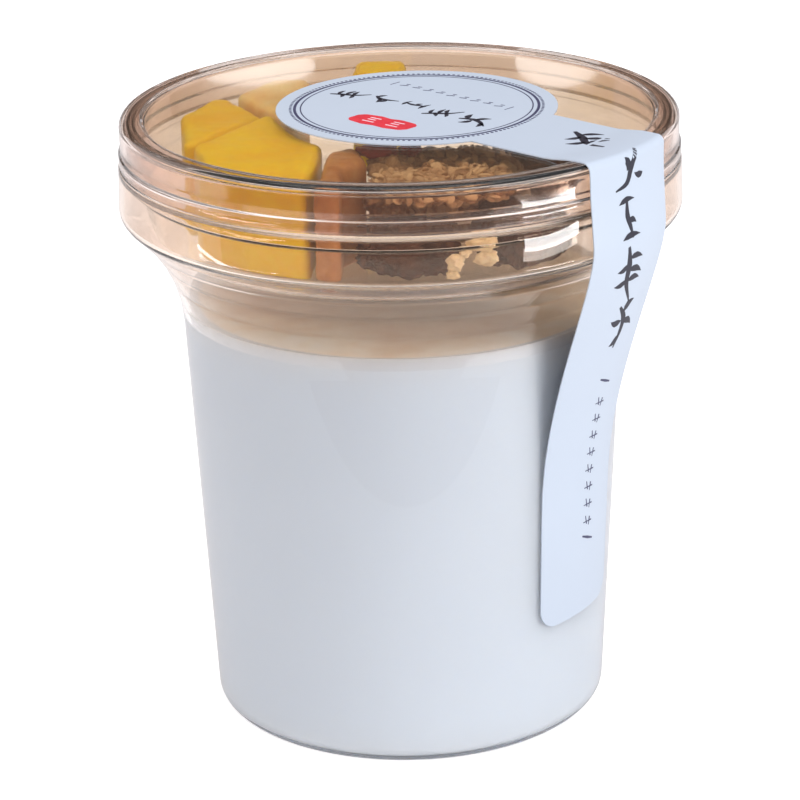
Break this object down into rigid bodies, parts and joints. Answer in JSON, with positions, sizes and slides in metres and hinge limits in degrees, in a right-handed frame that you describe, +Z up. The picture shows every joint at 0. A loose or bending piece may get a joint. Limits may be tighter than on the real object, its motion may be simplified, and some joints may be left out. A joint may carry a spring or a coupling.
{
  "type": "yogurt cup",
  "caption": "Clear plastic cup of plain yogurt under a clip-on lid, with an inner tray of cut mango, walnuts and granola, and a paper seal over the rim.",
  "frame": {"origin": "centre of the base, on the surface that the cup stands on", "axes": "+Z up; -Y faces the viewer, with +X to the right, where the seal's strip comes down"},
  "size_m": [0.0914, 0.0914, 0.1013],
  "materials": {
    "clear_plastic": "clear smooth moulded plastic",
    "tray_plastic": "clear thin formed plastic, slightly warm",
    "lid_plastic": "clear smooth moulded plastic, slightly warm",
    "yogurt": "smooth white set yogurt",
    "paper_seal": "coated white paper",
    "mango": "moist cut fruit",
    "dried_fruit": "translucent dried fruit",
    "walnut": "wrinkled walnut skin",
    "granola": "rough toasted clusters"
  },
  "bodies": {
    "root": {"cup": "clear_plastic", "tray": "tray_plastic", "lid": "lid_plastic", "yogurt": "yogurt", "label": "paper_seal", "mango_front": "mango", "mango_left": "mango", "mango_pale": "mango", "mango_back": "mango", "apricot": "dried_fruit", "walnut_front": "walnut", "walnut_right": "walnut", "walnut_back": "walnut", "granola_middle": "granola", "granola_top": "granola"}
  },
  "joints": []
}
